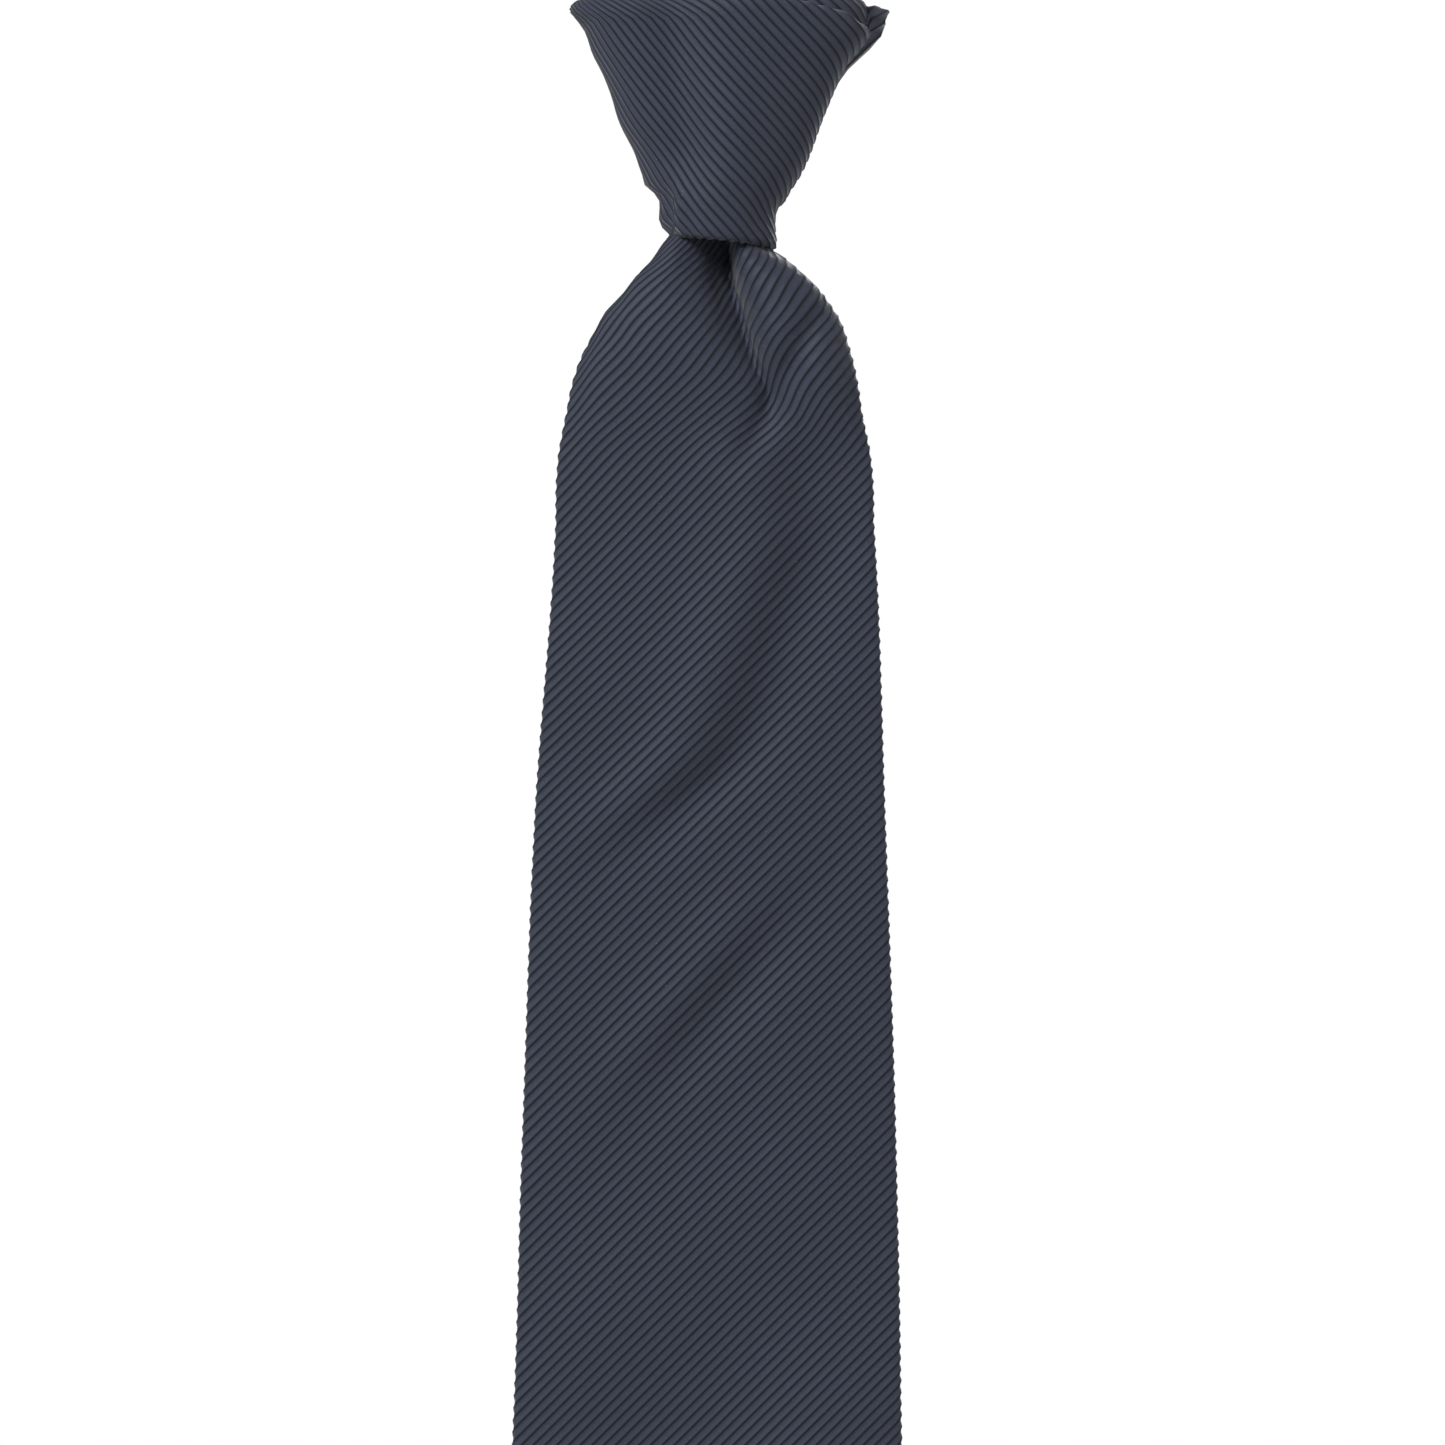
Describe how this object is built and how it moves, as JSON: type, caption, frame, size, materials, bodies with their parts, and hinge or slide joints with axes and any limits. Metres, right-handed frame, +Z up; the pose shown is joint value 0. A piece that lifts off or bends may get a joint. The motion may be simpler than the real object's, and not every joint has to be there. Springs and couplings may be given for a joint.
{
  "type": "necktie",
  "caption": "Self-tie ribbed necktie, tied with a dimple on a closed neck loop, with its tail held behind the front blade by a keeper loop.",
  "frame": {"origin": "centre of the neck opening", "axes": "+Z up as the tie hangs, -Y towards the front of the tie, +X to the right seen from the front"},
  "size_m": [0.1374, 0.1631, 0.5644],
  "materials": {
    "ribbed_cloth": "dark navy ribbed silk, matte with a soft sheen",
    "interlining": "brushed wool",
    "tipping": "smooth dark navy lining",
    "thread": "twisted sewing thread",
    "label": "woven label, blank"
  },
  "bodies": {
    "neck_loop": {"neck_band_shell": "ribbed_cloth", "neck_band_interlining": "interlining", "piecing_seams": "thread", "tail_leg": "ribbed_cloth", "blade_leg": "ribbed_cloth"},
    "knot": {"knot_front_wrap": "ribbed_cloth", "knot_back_wrap": "ribbed_cloth", "knot_left_turn": "ribbed_cloth", "knot_right_turn": "ribbed_cloth", "knot_final_pass": "ribbed_cloth", "blade_throat": "ribbed_cloth"},
    "front_blade": {"front_blade_shell": "ribbed_cloth", "front_blade_interlining": "interlining", "front_tipping": "tipping", "front_bar_tack": "thread", "front_slip_stitch": "thread", "keeper_loop": "ribbed_cloth", "keeper_stitches": "thread", "blank_label": "label", "label_stitches": "thread"},
    "tail_blade": {"tail_strap": "ribbed_cloth", "tail_shell": "ribbed_cloth", "tail_interlining": "interlining", "tail_tipping": "tipping", "tail_bar_tack": "thread", "tail_slip_stitch": "thread"}
  },
  "joints": [
    {"name": "knot_slide", "type": "slide", "parent": "neck_loop", "child": "knot", "axis": [0, 0, -1], "range_m": [0, 0.03], "deforming": ["tail_leg", "blade_leg"]},
    {"name": "blade_swing", "type": "hinge", "parent": "knot", "child": "front_blade", "pos_m": [0, -0.074, -0.085], "axis": [-1, 0, 0], "range_deg": [0, 75], "deforming": ["blade_throat"]},
    {"name": "tail_feed", "type": "slide", "parent": "front_blade", "child": "tail_blade", "axis": [0, 0, 1], "range_m": [0, 0.06], "deforming": ["tail_strap"]}
  ],
  "couplings": [
    {"joint": "tail_feed", "follows": "knot_slide", "ratio": 2}
  ]
}
